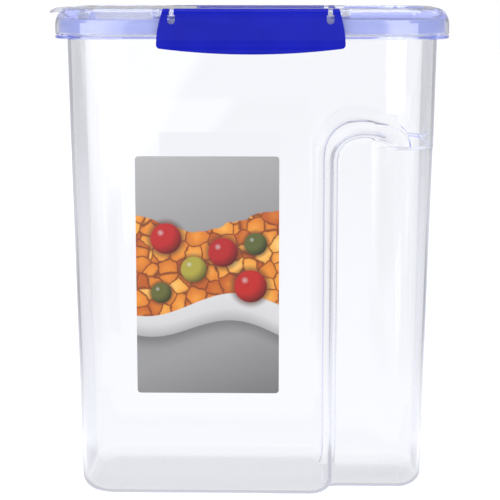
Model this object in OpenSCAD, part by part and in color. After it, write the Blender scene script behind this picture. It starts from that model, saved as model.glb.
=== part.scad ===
// Cereal container with a snap-on lid, two wide side clips and a flip spout cap.
// The base centre is the origin, X runs along the length and Z is up.

/* [Overall] */
// Height of the closed container, base to lid top
total_h = 288; // [240:1:330]
// Length of the lid along X, without the thumb tab
lid_len = 227.4; // [215:0.2:250]
// Depth of the lid along Y, without the clips
lid_depth = 112; // [104:0.5:130]
// Plan corner radius of the lid
lid_corner_r = 27.9; // [26:0.1:32]

/* [Container body] */
// Wall thickness of the container
wall = 1.8; // [1.4:0.1:2.4]
// How far the lid edge stands out beyond the container wall
overhang = 6.9; // [6.5:0.1:8]
// Draft of the walls on each side, in degrees
draft = 1; // [0.5:0.1:2]
// Fillet between the walls and the base
base_fillet = 9; // [6:0.5:11]

/* [Hand recess] */
// Depth of the hand recess in the front and in the back wall
recess_depth = 16; // [13:0.5:17]
// Radius of the arch that ends the recess at the top
arch_r = 28.2; // [25:0.1:32]
// Distance of the arch centre from the container's middle
arch_x = 63; // [56:1:66]
// Height of the arch centre above the base
arch_z = 200.5; // [170:0.5:212]
// How far the top of the arch leans over towards the narrow end at full depth
arch_shift = 4; // [0:0.5:6]
// Radius of the convex edge of the recess
edge_r = 13; // [8:0.5:14]
// Radius of the concave fillet at the bottom of the recess
cove_r = 4.5; // [3:0.5:6]
// How far the recess wall leans out from square, in degrees
wall_lean = 8; // [4:1:20]
// Half width of the arch's outer leg where it leaves the wall
leg_out = 28.5; // [26:0.5:30]
// Half width of the arch's outer leg at full depth
leg_in = 9.5; // [8:0.5:12]
// Height at which the outer leg begins to fall back
leg_z = 208; // [200:1:216]
// Height over which the outer leg fades into the narrow end
leg_fade = 95; // [60:1:110]
// Plan corner radius of the narrowed end
narrow_corner_r = 15; // [14:0.5:20]

/* [Rim and flange] */
// Height of the flange that the clips bite under
flange_t = 2.2; // [1.8:0.1:3]
// Height of the lid edge and flange together
lid_h = 17.4; // [16.6:0.1:20]
// Height of the rim above the flange
rim_h = 7.1; // [5:0.1:7.2]
// Distance from the lid edge to the outside of the rim
rim_inset = 4.2; // [4:0.1:4.6]

/* [Lid] */
// Wall thickness of the lid skirt
skirt_t = 1.7; // [1.4:0.1:1.8]
// Width of the rounded shoulder
shoulder_w = 7.5; // [6:0.1:8]
// Height of the rounded shoulder
shoulder_h = 10; // [8:0.5:11]
// Width of the flat top rim, measured from the lid edge
top_rim_w = 12.2; // [11:0.1:14]
// How far the top panel lies below the top rim
panel_drop = 4.5; // [4.2:0.1:5]
// Thickness of the top panel
panel_t = 2; // [1.6:0.1:2.4]
// Thickness of the wall inside the seal
inner_wall_t = 1.6; // [1.2:0.1:2]

/* [Lid seal] */
// Thickness of the seal's outer leg
seal_leg_t = 2; // [1.6:0.1:2.1]
// Thickness of the seal's top web
seal_web_t = 1.5; // [1.2:0.1:1.6]
// Height of the seal
seal_h = 7.7; // [7:0.1:8]

/* [Side clips] */
// Width of each clip at the hinge
clip_top_w = 99; // [80:0.2:104]
// Greatest width of each clip
clip_max_w = 106.4; // [100:0.2:112]
// Thickness of the clip plate
clip_t = 2.2; // [1.8:0.1:2.6]
// Distance of the hinge rod behind the lid edge
rod_inset = 2.3; // [2.2:0.1:2.6]
// Radius of the hinge rod
rod_r = 1.25; // [1:0.05:1.3]
// Radius of the clip's knuckle
knuckle_r = 2.5; // [2.3:0.1:2.6]
// How far the finger lip hangs below the lid edge in the middle
lip_drop = 7.9; // [6:0.1:10]
// How far the bottom edge of the clip bows down
lip_bow = 3.1; // [1:0.1:4]
// How far the finger lip stands out from the lid edge
lip_reach = 6.9; // [6:0.1:8]
// Distance between the two lugs that steady the rod
lug_span = 89.4; // [60:0.2:92]
// Width of each lug
lug_w = 2.2; // [1.6:0.1:2.6]
// Width of the window below each lug
window_w = 4.3; // [3.8:0.1:5]
// Distance of the window's round end below the rod
window_drop = 4; // [3.6:0.1:4.4]

/* [Flip cap] */
// Distance of the cap's hinge axis from the end of the lid
hinge_back = 77.7; // [70:0.1:84]
// Width of the cap along Y
cap_w = 74; // [66:1:76]
// Plan corner radius of the cap
cap_corner_r = 9.5; // [8.5:0.5:12]
// Thickness of the cap plate
cap_t = 2.2; // [1.8:0.1:2.4]
// Distance of the pour opening from the end of the lid
spout_back = 17.7; // [16:0.1:22]
// Length of the pour opening along X
spout_len = 46; // [36:1:48]
// Width of the pour opening along Y
spout_w = 60; // [46:1:62]
// Corner radius of the pour opening
spout_r = 12; // [8:1:14]
// Depth of the spout collar below the panel
collar_h = 5; // [4:0.5:7]
// How far the cap's plug reaches below the panel
plug_depth = 5; // [4:0.5:6]
// Width of the thumb tab
tab_w = 26; // [20:1:34]
// How far the thumb tab stands out beyond the lid edge
tab_reach = 5.5; // [4:0.5:8]
// Radius of the cap's hinge barrel
barrel_r = 1.9; // [1.7:0.1:2]
// Radius of the cap's hinge pins
pin_r = 1.1; // [0.9:0.05:1.2]

/* [Label] */
// Width of the label
label_w = 83; // [60:1:90]
// Height of the label
label_h = 140; // [90:1:150]
// Distance of the label's middle from the container's middle, to the left
label_x = 25.3; // [10:0.1:30]
// Height of the label's middle
label_z = 134; // [110:1:160]
// Thickness of the label film
label_t = 0.3; // [0.2:0.05:0.5]
// Corner radius of the label
label_r = 2; // [1:0.5:4]

/* [Fits] */
// Clearance between pieces that lie one in the other
fit_gap = 0.3; // [0.2:0.05:0.4]
// Running clearance of a pin or rod in its bore
pin_gap = 0.08; // [0.05:0.01:0.1]
// Gap between the open hook and the flange edge
hook_gap = 0.2; // [0.15:0.05:0.3]
// Gap on each side of a clip in the lid's pocket
pocket_gap = 2.3; // [1.5:0.1:3]

/* [Hidden] */
$fn = 48;

// Facets across a quarter turn of the container's plan corners
corner_steps = 8;
// Facets across the base fillet
fillet_steps = 5;
// Facets across the convex and the concave arc of the recess
arc_steps = 5;
// Facets over the outer half of the arch and down its leg
arch_steps = 5;
leg_steps = 3;
// Rings between the foot of the fading leg and the arch
lower_steps = 7;
// Height at which the narrow end is square again
foot_z = 60;
// Run of the contours over the top of the arch, beside their run at its sides
top_spread = 1.05;
// Fullness of the arch's outer shoulder, where 1 is a circle
fullness = 0.9;
// Spare width between neighbouring stations that meet over the arch
station_gap = 0.25;
// Spare width over which the outer leg widens on its way down
leg_gap = 1;
// Share of the base fillet that the recess wall follows sideways
recess_fillet_share = 0.6;
// Rounding of small moulded edges
edge = 0.5;

tilt = tan(draft);
lid_hx = lid_len / 2;
lid_hy = lid_depth / 2;
flange_z = total_h - lid_h;
skirt_z = flange_z + flange_t + fit_gap;
rim_z = flange_z + flange_t + rim_h;
body_hx = lid_hx - overhang;
body_hy = lid_hy - overhang;
body_corner_r = lid_corner_r - overhang;
panel_z = total_h - panel_drop;
seal_z = rim_z + fit_gap;
ceiling_z = seal_z + seal_web_t + fit_gap / 3;
rod_z = total_h - knuckle_r;
rim_inner = rim_inset + wall;
inner_wall_x = rim_inner + 2 * fit_gap + 1;
cap_hinge_x = lid_hx - hinge_back;

// Half length and half depth of the container's outside at a height
function half_x(z) = body_hx - max(0, flange_z - z) * tilt;
function half_y(z) = body_hy - max(0, flange_z - z) * tilt;

// Stations across the recess edge, as [angle, run from the outline, depth].
// The wall turns in over a convex arc, runs straight and turns out over a concave arc.
top_angle = 90 - wall_lean;
arcs_depth = (edge_r + cove_r) * (1 - cos(top_angle));
wall_run = max(0.2, (recess_depth - arcs_depth) / sin(top_angle));
stations = concat(
    [for (i = [0:arc_steps])
        let (a = top_angle * i / arc_steps)
        [a, edge_r * sin(a), edge_r * (1 - cos(a))]],
    [for (i = [0:arc_steps])
        let (a = top_angle * (1 - i / arc_steps))
        [a,
         (edge_r + cove_r) * sin(top_angle) + wall_run * cos(top_angle) - cove_r * sin(a),
         recess_depth - cove_r * (1 - cos(a))]]
);
last = len(stations) - 1;

// Station i moved square to its surface by an offset: its distance from the arch
// centre at the side and at the top, and its depth. inset is that of the base fillet.
function station_r(i, off, inset) =
    arch_r - stations[i][1]
    + (off + recess_fillet_share * inset) * sin(stations[i][0]);
function station_v(i, off) =
    arch_r - top_spread * stations[i][1] + off * sin(stations[i][0]);
function station_depth(i, off) = stations[i][2] + off * cos(stations[i][0]);

// Share of the full depth at contour k. last + 1 keeps the whole recess, -1 has none.
function share_of(k) =
    k > last ? 1 : k < 0 ? 0 : min(1, stations[k][2] / recess_depth);

// The arch's outer leg falls back to the narrow end along a half wave
function fade_of(k) = acos(max(-1, 1 - 2 * share_of(k))) / 180;
function leg_r(k) = leg_out + (leg_in - leg_out) * fade_of(k);
function leg_end(k) = leg_z - leg_fade * fade_of(k);
function leg_slope(k) =
    atan(recess_depth * PI / 2 / (leg_out - leg_in) * sin(180 * fade_of(k)));

// How far a plan corner of radius r has turned back at a distance past its start
function turned(past, r) =
    let (s = max(0, min(1, past / r)))
    r * (1 - sqrt(1 - s * s));

// Outer half of contour k, round the arch from its top and down the leg, as
// [x, z, depth of the offset]
function outer_half(start, k, off, top, end) =
    let (
        steep = k < 0 || k > last ? 0 : stations[k][0],
        mild = leg_slope(k),
        leg_x = arch_x + leg_r(k) + off * sin(mild),
        turn = max(end, min(arch_z, top))
    )
    concat(
        [for (i = [0:arch_steps])
            let (a = 90 * i / arch_steps, part = i / arch_steps)
            [start + (leg_x - start) * pow(sin(a), fullness),
             turn + (top - turn) * pow(cos(a), fullness),
             off * ((1 - part) * cos(steep) + part * cos(mild))]],
        [for (i = [1:leg_steps])
            let (part = i / leg_steps)
            [leg_x + (leg_gap - off * sin(mild)) * part,
             turn + (end - turn) * part,
             off * ((1 - part) * cos(mild) + part)]]
    );

// Front half of one ring of the skin, from the left end round to the right end.
// k is the contour that the ring follows over the arch, rise the ring's height over
// the arch centre and end its height at the narrow end.
function half_ring(z, off, inset, k, rise, end) =
    let (
        hx = half_x(z) - off - inset,
        hy = half_y(z),
        r = body_corner_r - off - inset,
        plain = hy - off - inset,
        share = share_of(k),
        base = hy - share * recess_depth - inset,
        depth = k < 0 || k > last
              ? share * recess_depth + off
              : station_depth(k, off),
        rr = r + (narrow_corner_r - body_corner_r) * share,
        plate = hx - rr,
        top_x = arch_x + arch_shift * share,
        down = (z - end) * tilt,
        first = asin(max(0, min(1, (arch_x + leg_r(k) + leg_gap - plate) / rr)))
    )
    concat(
        [for (i = [0:corner_steps])
            let (a = 180 + 90 * i / corner_steps)
            [-hx + r + r * cos(a), -plain + r + r * sin(a), z]],
        [for (i = [0:last])
            let (
                open = k > last || i < k,
                shift = arch_shift * share_of(i),
                low = open ? max(0, min(1, rise / station_v(i, off))) : 0,
                side = (station_r(i, off, inset) + shift) * sqrt(1 - low * low),
                x = open
                    ? min(arch_x + shift - side, top_x - station_gap * (last + 2 - i))
                    : top_x - station_gap * (last + 1 - i)
            )
            k < 0
            ? [arch_x - arch_r * (1 - i / (last + 1)), -plain, z]
            : [x, -hy + (open ? station_depth(i, off) : depth) + inset, z]],
        [for (p = outer_half(top_x, k, off, z, end))
            [p[0], -base + p[2] + turned(p[0] - plate, rr) + (z - p[1]) * tilt, p[1]]],
        [for (i = [0:corner_steps])
            let (a = first + (90 - first) * (i + 0.5) / (corner_steps + 0.5))
            [plate + (rr - down) * sin(a), -base + off + rr - (rr - down) * cos(a), end]]
    );

// A whole ring: the front half and its mirror image at the back
function ring(z, off, inset, k, rise, end) =
    let (front = half_ring(z, off, inset, k, rise, end))
    concat(front, [for (i = [len(front) - 1:-1:0]) [front[i][0], -front[i][1], front[i][2]]]);

function full_ring(z, off, inset) = ring(z, off, inset, last + 1, -1, z);
function plain_ring(z, off, inset) = ring(z, off, inset, -1, 0, z);

// Rings up a skin from the top of the base fillet to the top of the arch
function wall_rings(off) =
    let (top = arch_z + station_v(last, off) - foot_z)
    concat(
        [full_ring(foot_z, off, 0)],
        [for (i = [1:lower_steps - 1])
            let (part = i / lower_steps)
            ring(foot_z + top * part, off, 0, last + 1, foot_z + top * part - arch_z,
                 foot_z + (leg_z - leg_fade - foot_z) * part)],
        [for (k = [last:-1:0])
            ring(arch_z + station_v(k, off), off, 0, k, station_v(k, off), leg_end(k))]
    );

function fillet_rings(off, radius, from, to) = [
    for (i = [from:(to > from ? 1 : -1):to])
        let (a = 90 * i / fillet_steps)
        full_ring(base_fillet - radius * sin(a), off, radius * (1 - cos(a)))
];

skin = concat(
    fillet_rings(0, base_fillet, fillet_steps, 0),
    wall_rings(0),
    [plain_ring(flange_z - edge, 0, 0)],
    [plain_ring(flange_z, 0, -edge)],
    [plain_ring(flange_z, 0, -overhang + edge)],
    [plain_ring(flange_z + edge, 0, -overhang)],
    [plain_ring(flange_z + flange_t - edge, 0, -overhang)],
    [plain_ring(flange_z + flange_t, 0, -overhang + edge)],
    [plain_ring(flange_z + flange_t, 0, rim_inset - overhang)],
    [plain_ring(rim_z - edge, 0, rim_inset - overhang)],
    [plain_ring(rim_z, 0, rim_inset - overhang + edge)],
    [plain_ring(rim_z, 0, rim_inset - overhang + wall - edge)],
    [plain_ring(rim_z - edge, 0, rim_inset - overhang + wall)],
    [plain_ring(flange_z + flange_t, 0, rim_inset - overhang + wall)],
    [plain_ring(flange_z, wall, 0)],
    [for (rings = [wall_rings(wall)]) each [for (i = [len(rings) - 1:-1:0]) rings[i]]],
    fillet_rings(wall, base_fillet - wall, 0, fillet_steps)
);

module loft(rings) {
    n = len(rings[0]);
    m = len(rings);
    polyhedron(
        points = [for (r = rings) each r],
        faces = concat(
            [[for (i = [0:n - 1]) i]],
            [for (j = [0:m - 2], i = [0:n - 1])
                let (a = j * n + i, b = j * n + (i + 1) % n)
                each [[a, a + n, b], [b, a + n, b + n]]],
            [[for (i = [n - 1:-1:0]) (m - 1) * n + i]]
        )
    );
}

module container() {
    color([0.93, 0.95, 1, 0.35]) loft(skin);
}

module plan(hx, hy, r) {
    square([2 * hx, 2 * (hy - r)], center = true);
    square([2 * (hx - r), 2 * hy], center = true);
    for (x = [-1, 1], y = [-1, 1])
        translate([x * (hx - r), y * (hy - r)])
            circle(r);
}

// The section drawn by the children, with X as the distance out from the lid's
// corner centres, carried round the lid
module carry_round() {
    cx = lid_hx - lid_corner_r;
    cy = lid_hy - lid_corner_r;
    for (side = [0, 1])
        rotate([0, 0, 180 * side]) {
            translate([cx, cy, 0])
                rotate([90, 0, 0])
                    linear_extrude(2 * cy)
                        children();
            translate([-cx, cy, 0])
                rotate([90, 0, 90])
                    linear_extrude(2 * cx)
                        children();
            translate([cx, cy, 0])
                rotate_extrude(angle = 90, $fn = 96)
                    children();
            translate([-cx, cy, 0])
                rotate([0, 0, 90])
                    rotate_extrude(angle = 90, $fn = 96)
                        children();
        }
}

module lid_section() {
    r = lid_corner_r;
    polygon(concat(
        [[r - edge, skirt_z], [r, skirt_z + edge]],
        [for (a = [0:10:90])
            [r - shoulder_w * (1 - cos(a)), total_h - shoulder_h * (1 - sin(a))]],
        [
            [r - top_rim_w + 1.2, total_h],
            [r - top_rim_w + 0.6, total_h - 0.3],
            [r - top_rim_w + 0.2, panel_z],
            [r - top_rim_w - 1, panel_z],
            [r - top_rim_w - 1, panel_z - panel_t],
            [r - inner_wall_x - inner_wall_t, panel_z - panel_t],
            [r - inner_wall_x - inner_wall_t, skirt_z + 2],
            [r - inner_wall_x, skirt_z + 2],
            [r - inner_wall_x, ceiling_z],
            [r - skirt_t, ceiling_z],
            [r - skirt_t, skirt_z]
        ]
    ));
}

module spout_plan(grow) {
    translate([-(lid_hx - spout_back - spout_len / 2), 0])
        plan(spout_len / 2 + grow, spout_w / 2 + grow, spout_r + grow);
}

// Width of each of the two posts that hold the cap's pins
post_w = 4;
pocket_w = clip_max_w + 2 * pocket_gap;
pocket_d = 5.7;
pocket_z = rod_z - knuckle_r - 2 * fit_gap;
tab_notch_w = tab_w + 2;
tab_z = total_h - 2.9;

module clip_pocket() {
    translate([-pocket_w / 2, -lid_hy - 1, pocket_z])
        cube([pocket_w, pocket_d + 1, total_h - pocket_z + 1]);
}

// Rod of one clip, with its two end brackets and its two lugs
module clip_rod() {
    bracket_w = 4.2;
    translate([0, -lid_hy + rod_inset, rod_z]) {
        rotate([0, 90, 0])
            cylinder(h = pocket_w + 1, r = rod_r, center = true);
        for (side = [-1, 1])
            translate([side * (pocket_w - bracket_w) / 2, 0, 0])
                rod_holder(bracket_w + 0.02, knuckle_r - 0.2);
        for (side = [-1, 1])
            translate([side * lug_span / 2, 0, 0])
                rod_holder(lug_w, rod_r + 0.7);
    }
}

module rod_holder(w, r) {
    depth = pocket_d - rod_inset;
    rotate([0, 90, 0])
        cylinder(h = w, r = r, center = true);
    translate([-w / 2, 0, pocket_z - rod_z - 0.1])
        cube([w, depth + 0.1, rod_z - pocket_z + r + 0.1]);
    translate([-w / 2, -r, pocket_z - rod_z - 0.1])
        cube([w, r, rod_z - pocket_z + 0.1]);
}

module cap_hinge_post(side) {
    post_l = 3 * barrel_r;
    y = side * (cap_w / 2 - post_w / 2 + 0.4);
    difference() {
        translate([-cap_hinge_x - post_l / 2, y - post_w / 2, panel_z - 0.1])
            cube([post_l, post_w, total_h - 0.3 - panel_z]);
        translate([-cap_hinge_x, 0, total_h - barrel_r - 0.2])
            rotate([90, 0, 0])
                cylinder(h = cap_w - post_w + 0.8, r = pin_r + pin_gap, center = true);
    }
}

module lid() {
    color([0.90, 0.92, 1, 0.4]) {
        difference() {
            union() {
                carry_round() lid_section();
                translate([0, 0, panel_z - panel_t])
                    linear_extrude(panel_t)
                        plan(lid_hx - top_rim_w - 0.5, lid_hy - top_rim_w - 0.5,
                             lid_corner_r - top_rim_w - 0.5);
                translate([0, 0, panel_z - panel_t - collar_h])
                    linear_extrude(collar_h + 0.1)
                        spout_plan(1.6);
            }
            translate([0, 0, panel_z - panel_t - collar_h - 1])
                linear_extrude(collar_h + panel_t + 2)
                    spout_plan(0);
            clip_pocket();
            rotate([0, 0, 180]) clip_pocket();
            translate([-lid_hx - 1, -tab_notch_w / 2, tab_z - 0.8])
                cube([top_rim_w + 2, tab_notch_w, total_h]);
        }
        clip_rod();
        rotate([0, 0, 180]) clip_rod();
        cap_hinge_post(-1);
        cap_hinge_post(1);
    }
}

module seal_section() {
    r = lid_corner_r;
    outer = r - skirt_t - fit_gap / 2;
    inner = r - inner_wall_x + fit_gap / 2;
    polygon([
        [outer, seal_z + seal_web_t],
        [inner, seal_z + seal_web_t],
        [inner, seal_z + seal_web_t - seal_h + 1],
        [r - rim_inner - fit_gap, seal_z + seal_web_t - seal_h + 1],
        [r - rim_inner - fit_gap, seal_z],
        [outer - seal_leg_t, seal_z],
        [outer - seal_leg_t, seal_z + seal_web_t - seal_h],
        [outer, seal_z + seal_web_t - seal_h]
    ]);
}

module lid_seal() {
    color([0.62, 0.68, 0.95]) carry_round() seal_section();
}

// Section of a clip: X is the distance out from the lid edge, Y is the height
module clip_section() {
    hook_z = flange_z - 0.2;
    lip_z = flange_z - lip_drop;
    kx = -rod_inset;
    clip_h = total_h - hook_z;
    difference() {
        polygon(concat(
            [
                [kx + 1.3, total_h - 0.15],
                [0, total_h - 0.55],
                [1.2, total_h - 1.5],
                [2, total_h - 2.9],
                [2.5, total_h - 0.28 * clip_h],
                [0.8 + clip_t, total_h - 0.5 * clip_h],
                [1.1 + clip_t, total_h - 0.8 * clip_h],
                [1.4 + clip_t, hook_z],
                [2 + clip_t, hook_z - 1.8],
                [lip_reach - 1.5, hook_z - 3.3],
                [lip_reach - 0.5, hook_z - 2.3 * clip_t],
                [lip_reach, lip_z + 0.8],
                [lip_reach - 0.3, lip_z],
                [lip_reach - 1.3, lip_z],
                [lip_reach - 1.9, lip_z + 1.5],
                [lip_reach - 3, lip_z + 3.2],
                [lip_reach - 2.1 * clip_t, lip_z + 2.05 * clip_t],
                [1.2, hook_z - 1.8],
                [hook_gap, hook_z - 0.6],
                [hook_gap, hook_z],
                [1.5, hook_z],
                [1.35, hook_z + 0.6],
                [1.1, total_h - 0.74 * clip_h],
                [0.75, total_h - 0.45 * clip_h],
                [0.6, total_h - 0.31 * clip_h]
            ],
            [for (a = [-45:-15:-270])
                [kx + knuckle_r * cos(a), rod_z + knuckle_r * sin(a)]]
        ));
        translate([kx, rod_z]) circle(rod_r + pin_gap);
        translate([kx, rod_z])
            rotate(200)
                square([knuckle_r + 1, rod_r * 1.5]);
    }
}

// Right half of a clip's outline seen from the front, from the top edge down
function clip_half_outline() =
    let (
        half_top = clip_top_w / 2,
        half_max = clip_max_w / 2,
        corner = 2.4,
        lip_z = flange_z - lip_drop,
        end_z = lip_z + lip_bow,
        widest_z = end_z + corner
    )
    concat(
        [for (s = [0:0.2:1])
            [half_top + (half_max - half_top) * sin(90 * s), total_h + (widest_z - total_h) * s]],
        [for (a = [22.5:22.5:90])
            [half_max - corner + corner * cos(a), end_z + corner - corner * sin(a)]],
        [for (s = [0.9:-0.1:0.1])
            [(half_max - corner) * s, lip_z + lip_bow * s * s]]
    );

module clip_outline() {
    right = clip_half_outline();
    polygon(concat(
        right,
        [[0, flange_z - lip_drop]],
        [for (i = [len(right) - 1:-1:0]) [-right[i][0], right[i][1]]]
    ));
}

module clip_slot() {
    slot_w = lug_w + 2 * fit_gap;
    depth = lip_reach + pocket_d + 2;
    translate([-slot_w / 2, -lip_reach - 1, rod_z - 1.2])
        cube([slot_w, depth, knuckle_r + 3]);
    translate([-window_w / 2, -lip_reach - 1, rod_z - window_drop])
        cube([window_w, depth, 2.8]);
    translate([0, -lip_reach - 1, rod_z - window_drop])
        rotate([-90, 0, 0])
            cylinder(h = depth, r = window_w / 2);
}

module clip() {
    translate([0, -lid_hy, 0])
        difference() {
            intersection() {
                translate([-clip_max_w / 2 - 1, 0, 0])
                    rotate([90, 0, 90])
                        linear_extrude(clip_max_w + 2)
                            mirror([1, 0])
                                clip_section();
                translate([0, pocket_d, 0])
                    rotate([90, 0, 0])
                        linear_extrude(lip_reach + pocket_d + 2)
                            clip_outline();
            }
            for (side = [-1, 1])
                translate([side * lug_span / 2, 0, 0])
                    clip_slot();
        }
}

module front_clip() {
    color([0.11, 0.14, 0.70]) clip();
}

module rear_clip() {
    color([0.11, 0.14, 0.70]) rotate([0, 0, 180]) clip();
}

cap_left = lid_hx - top_rim_w - 0.1;
cap_right = cap_hinge_x + 2.2 * barrel_r;
cap_top = total_h - 0.2;
barrel_z = cap_top - barrel_r;
barrel_w = cap_w - 2 * post_w;
plug_gap = 1;
plug_bottom = panel_z - plug_depth;

module cap_plan(grow) {
    len = cap_left - cap_right;
    translate([-(cap_left + cap_right) / 2, 0])
        plan(len / 2 + grow, cap_w / 2 + grow, cap_corner_r + grow);
}

module tab_section() {
    tip = lid_hx + tab_reach;
    polygon([
        [-cap_left + 2, cap_top],
        [-lid_hx + 1, cap_top],
        [-lid_hx - 1.6, cap_top - 0.25],
        [-tip + 1.6, cap_top - 1.1],
        [-tip + 0.4, cap_top - 2],
        [-tip, cap_top - 2.7],
        [-tip + 0.5, cap_top - 3.2],
        [-tip + 2.4, cap_top - 2.9],
        [-lid_hx - 1, tab_z],
        [-cap_left + 2, tab_z]
    ]);
}

module flip_cap() {
    color([0.90, 0.92, 1, 0.4]) {
        difference() {
            union() {
                translate([0, 0, panel_z + fit_gap])
                    linear_extrude(cap_top - panel_z - fit_gap)
                        cap_plan(0);
                translate([-cap_right - 1, -barrel_w / 2, cap_top - cap_t])
                    cube([cap_right + 1 - cap_hinge_x, barrel_w, cap_t]);
                translate([-cap_hinge_x, 0, barrel_z])
                    rotate([90, 0, 0])
                        cylinder(h = barrel_w, r = barrel_r, center = true);
            }
            translate([0, 0, panel_z - 1])
                linear_extrude(cap_top - cap_t - panel_z + 1)
                    cap_plan(-1.6);
        }
        translate([-cap_hinge_x, 0, barrel_z])
            rotate([90, 0, 0])
                cylinder(h = barrel_w + 4, r = pin_r, center = true);
        rotate([90, 0, 0])
            translate([0, 0, -tab_w / 2])
                linear_extrude(tab_w)
                    tab_section();
        difference() {
            translate([0, 0, plug_bottom])
                linear_extrude(cap_top - cap_t - plug_bottom + 0.1)
                    spout_plan(-plug_gap);
            translate([0, 0, plug_bottom - 1])
                linear_extrude(cap_top - cap_t - plug_bottom + 1)
                    spout_plan(-plug_gap - 1.8);
            translate([0, 0, plug_bottom + 1])
                cap_groove(0);
        }
    }
}

// Band of the cap seal, or the groove in the plug that holds it
module cap_groove(play) {
    linear_extrude(2 - play)
        difference() {
            spout_plan(-plug_gap + 0.55 - play);
            spout_plan(-plug_gap - 0.6 + play);
        }
}

module flip_cap_seal() {
    color([0.62, 0.68, 0.95])
        translate([0, 0, plug_bottom + 1.02])
            cap_groove(0.04);
}

module label() {
    front = half_y(label_z);
    color([0.72, 0.74, 0.76])
        translate([-label_x, -front, label_z])
            rotate([90 + draft, 0, 0])
                translate([0, 0, 0.05])
                    linear_extrude(label_t)
                        plan(label_w / 2, label_h / 2, label_r);
}

container();
label();
lid();
lid_seal();
front_clip();
rear_clip();
flip_cap();
flip_cap_seal();
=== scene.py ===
"""Looks of the cereal container: camera, studio, materials and a smooth skin over the frame."""
import math

import bpy
import bmesh
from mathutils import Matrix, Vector


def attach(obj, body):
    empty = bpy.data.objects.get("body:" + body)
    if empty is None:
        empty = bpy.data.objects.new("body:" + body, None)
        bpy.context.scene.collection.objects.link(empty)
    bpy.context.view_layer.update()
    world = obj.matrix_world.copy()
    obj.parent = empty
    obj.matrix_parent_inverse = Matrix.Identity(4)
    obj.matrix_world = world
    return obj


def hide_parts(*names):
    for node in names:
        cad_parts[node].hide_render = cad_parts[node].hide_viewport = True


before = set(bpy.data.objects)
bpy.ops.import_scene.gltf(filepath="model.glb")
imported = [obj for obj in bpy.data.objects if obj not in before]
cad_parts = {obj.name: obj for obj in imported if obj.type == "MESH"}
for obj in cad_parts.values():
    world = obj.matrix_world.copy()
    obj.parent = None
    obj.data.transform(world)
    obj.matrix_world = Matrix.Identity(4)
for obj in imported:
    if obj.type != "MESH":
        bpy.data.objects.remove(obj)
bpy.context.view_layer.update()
MM = 0.001

# Sizes of the container, in millimetres, as the source has them
TOTAL_H = 288.0
LID_LEN = 227.4
LID_DEPTH = 112.0
LID_CORNER_R = 27.9
LID_H = 17.4
WALL = 1.8
OVERHANG = 6.9
DRAFT = math.radians(1.0)
BASE_FILLET = 9.0
FLANGE_T = 2.2
RIM_H = 7.1
RIM_INSET = 4.2
EDGE = 0.5

# The recess: its arch, and its edge from the convex roll to the cove
RECESS_DEPTH = 16.0
ARCH_R = 28.2
ARCH_RISE = ARCH_R
ARCH_SHIFT = 4.0
ARCH_X = 63.0
ARCH_Z = 200.5
ARCH_POWER = 0.9
EDGE_R = 13.0
COVE_R = 4.5
WALL_LEAN = 8.0
TOP_SPREAD = 1.05
MIN_RUN = 0.2

# Its right end, as the photo shows it: the arch ends in a lip, and a bank runs down to the base
SHOULDER_Z = 208.0
LEG_OUT = 28.5
LEG_IN = 9.5
LIP_H = 2.0
LEG_END_Z = 60.0
POST_RISE = 12.0
BANK_FROM = 69.0
BANK_TO = 91.0
NARROW_CORNER_R = 15.0

TILT = math.tan(DRAFT)
FLANGE_Z = TOTAL_H - LID_H
FLANGE_TOP = FLANGE_Z + FLANGE_T
RIM_Z = FLANGE_TOP + RIM_H
BODY_HX = LID_LEN / 2 - OVERHANG
BODY_HY = LID_DEPTH / 2 - OVERHANG
BODY_CORNER_R = LID_CORNER_R - OVERHANG

# Facets of the smooth skin
CORNER_STEPS = 20
ARCH_STEPS = 24
SIDE_STEPS = 40
LOWER_STEPS = 30
FILLET_STEPS = 12
ARC_STEPS = 14
FOOT_SHARES = (0.35, 0.7, 1.0)
STATION_GAP = 0.1
FLAT_EDGE = 1.0
FILLET_SHARE = 0.6
TOP_ANGLE = math.radians(90 - WALL_LEAN)
CREASE = math.radians(35.0)


# The container's skin
def unit(value):
    return max(0.0, min(1.0, value))


def half_x(z):
    return BODY_HX - max(0.0, FLANGE_Z - z) * TILT


def half_y(z):
    return BODY_HY - max(0.0, FLANGE_Z - z) * TILT


def edge_stations():
    """Stations across the recess edge, as (angle, run, depth)."""
    arcs = (EDGE_R + COVE_R) * (1 - math.cos(TOP_ANGLE))
    run = max(MIN_RUN, (RECESS_DEPTH - arcs) / math.sin(TOP_ANGLE))
    far = (EDGE_R + COVE_R) * math.sin(TOP_ANGLE) + run * math.cos(TOP_ANGLE)
    rows = []
    for i in range(ARC_STEPS + 1):
        a = TOP_ANGLE * i / ARC_STEPS
        rows.append((a, EDGE_R * math.sin(a), EDGE_R * (1 - math.cos(a))))
    for i in range(ARC_STEPS + 1):
        a = TOP_ANGLE * (1 - i / ARC_STEPS)
        rows.append((a, far - COVE_R * math.sin(a), RECESS_DEPTH - COVE_R * (1 - math.cos(a))))
    return rows


STATIONS = edge_stations()
LAST = len(STATIONS) - 1


def station_r(i, off, inset):
    """Half width of a contour, off being the way into the wall."""
    a, run, _ = STATIONS[i]
    return ARCH_R - run + (off + FILLET_SHARE * inset) * math.sin(a)


def station_depth(i, off):
    a, _, depth = STATIONS[i]
    return depth + off * math.cos(a)


def station_v(i, off):
    """Height of a contour's top over the arch centre."""
    a, run, _ = STATIONS[i]
    return ARCH_RISE - TOP_SPREAD * run + off * math.sin(a)


def share_of(k):
    """Share of the recess's depth at a contour; -1 stands for the plain wall."""
    return 1.0 if k > LAST else 0.0 if k < 0 else STATIONS[k][2] / RECESS_DEPTH


def ring_depth(k, off):
    if k > LAST:
        return RECESS_DEPTH + off
    return off if k < 0 else station_depth(k, off)


def corner_y(x, plate, rr):
    """How far a rounded plan corner falls back behind its plate at x."""
    across = unit((x - plate) / rr)
    return rr * (1 - math.sqrt(1 - across * across))


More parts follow.
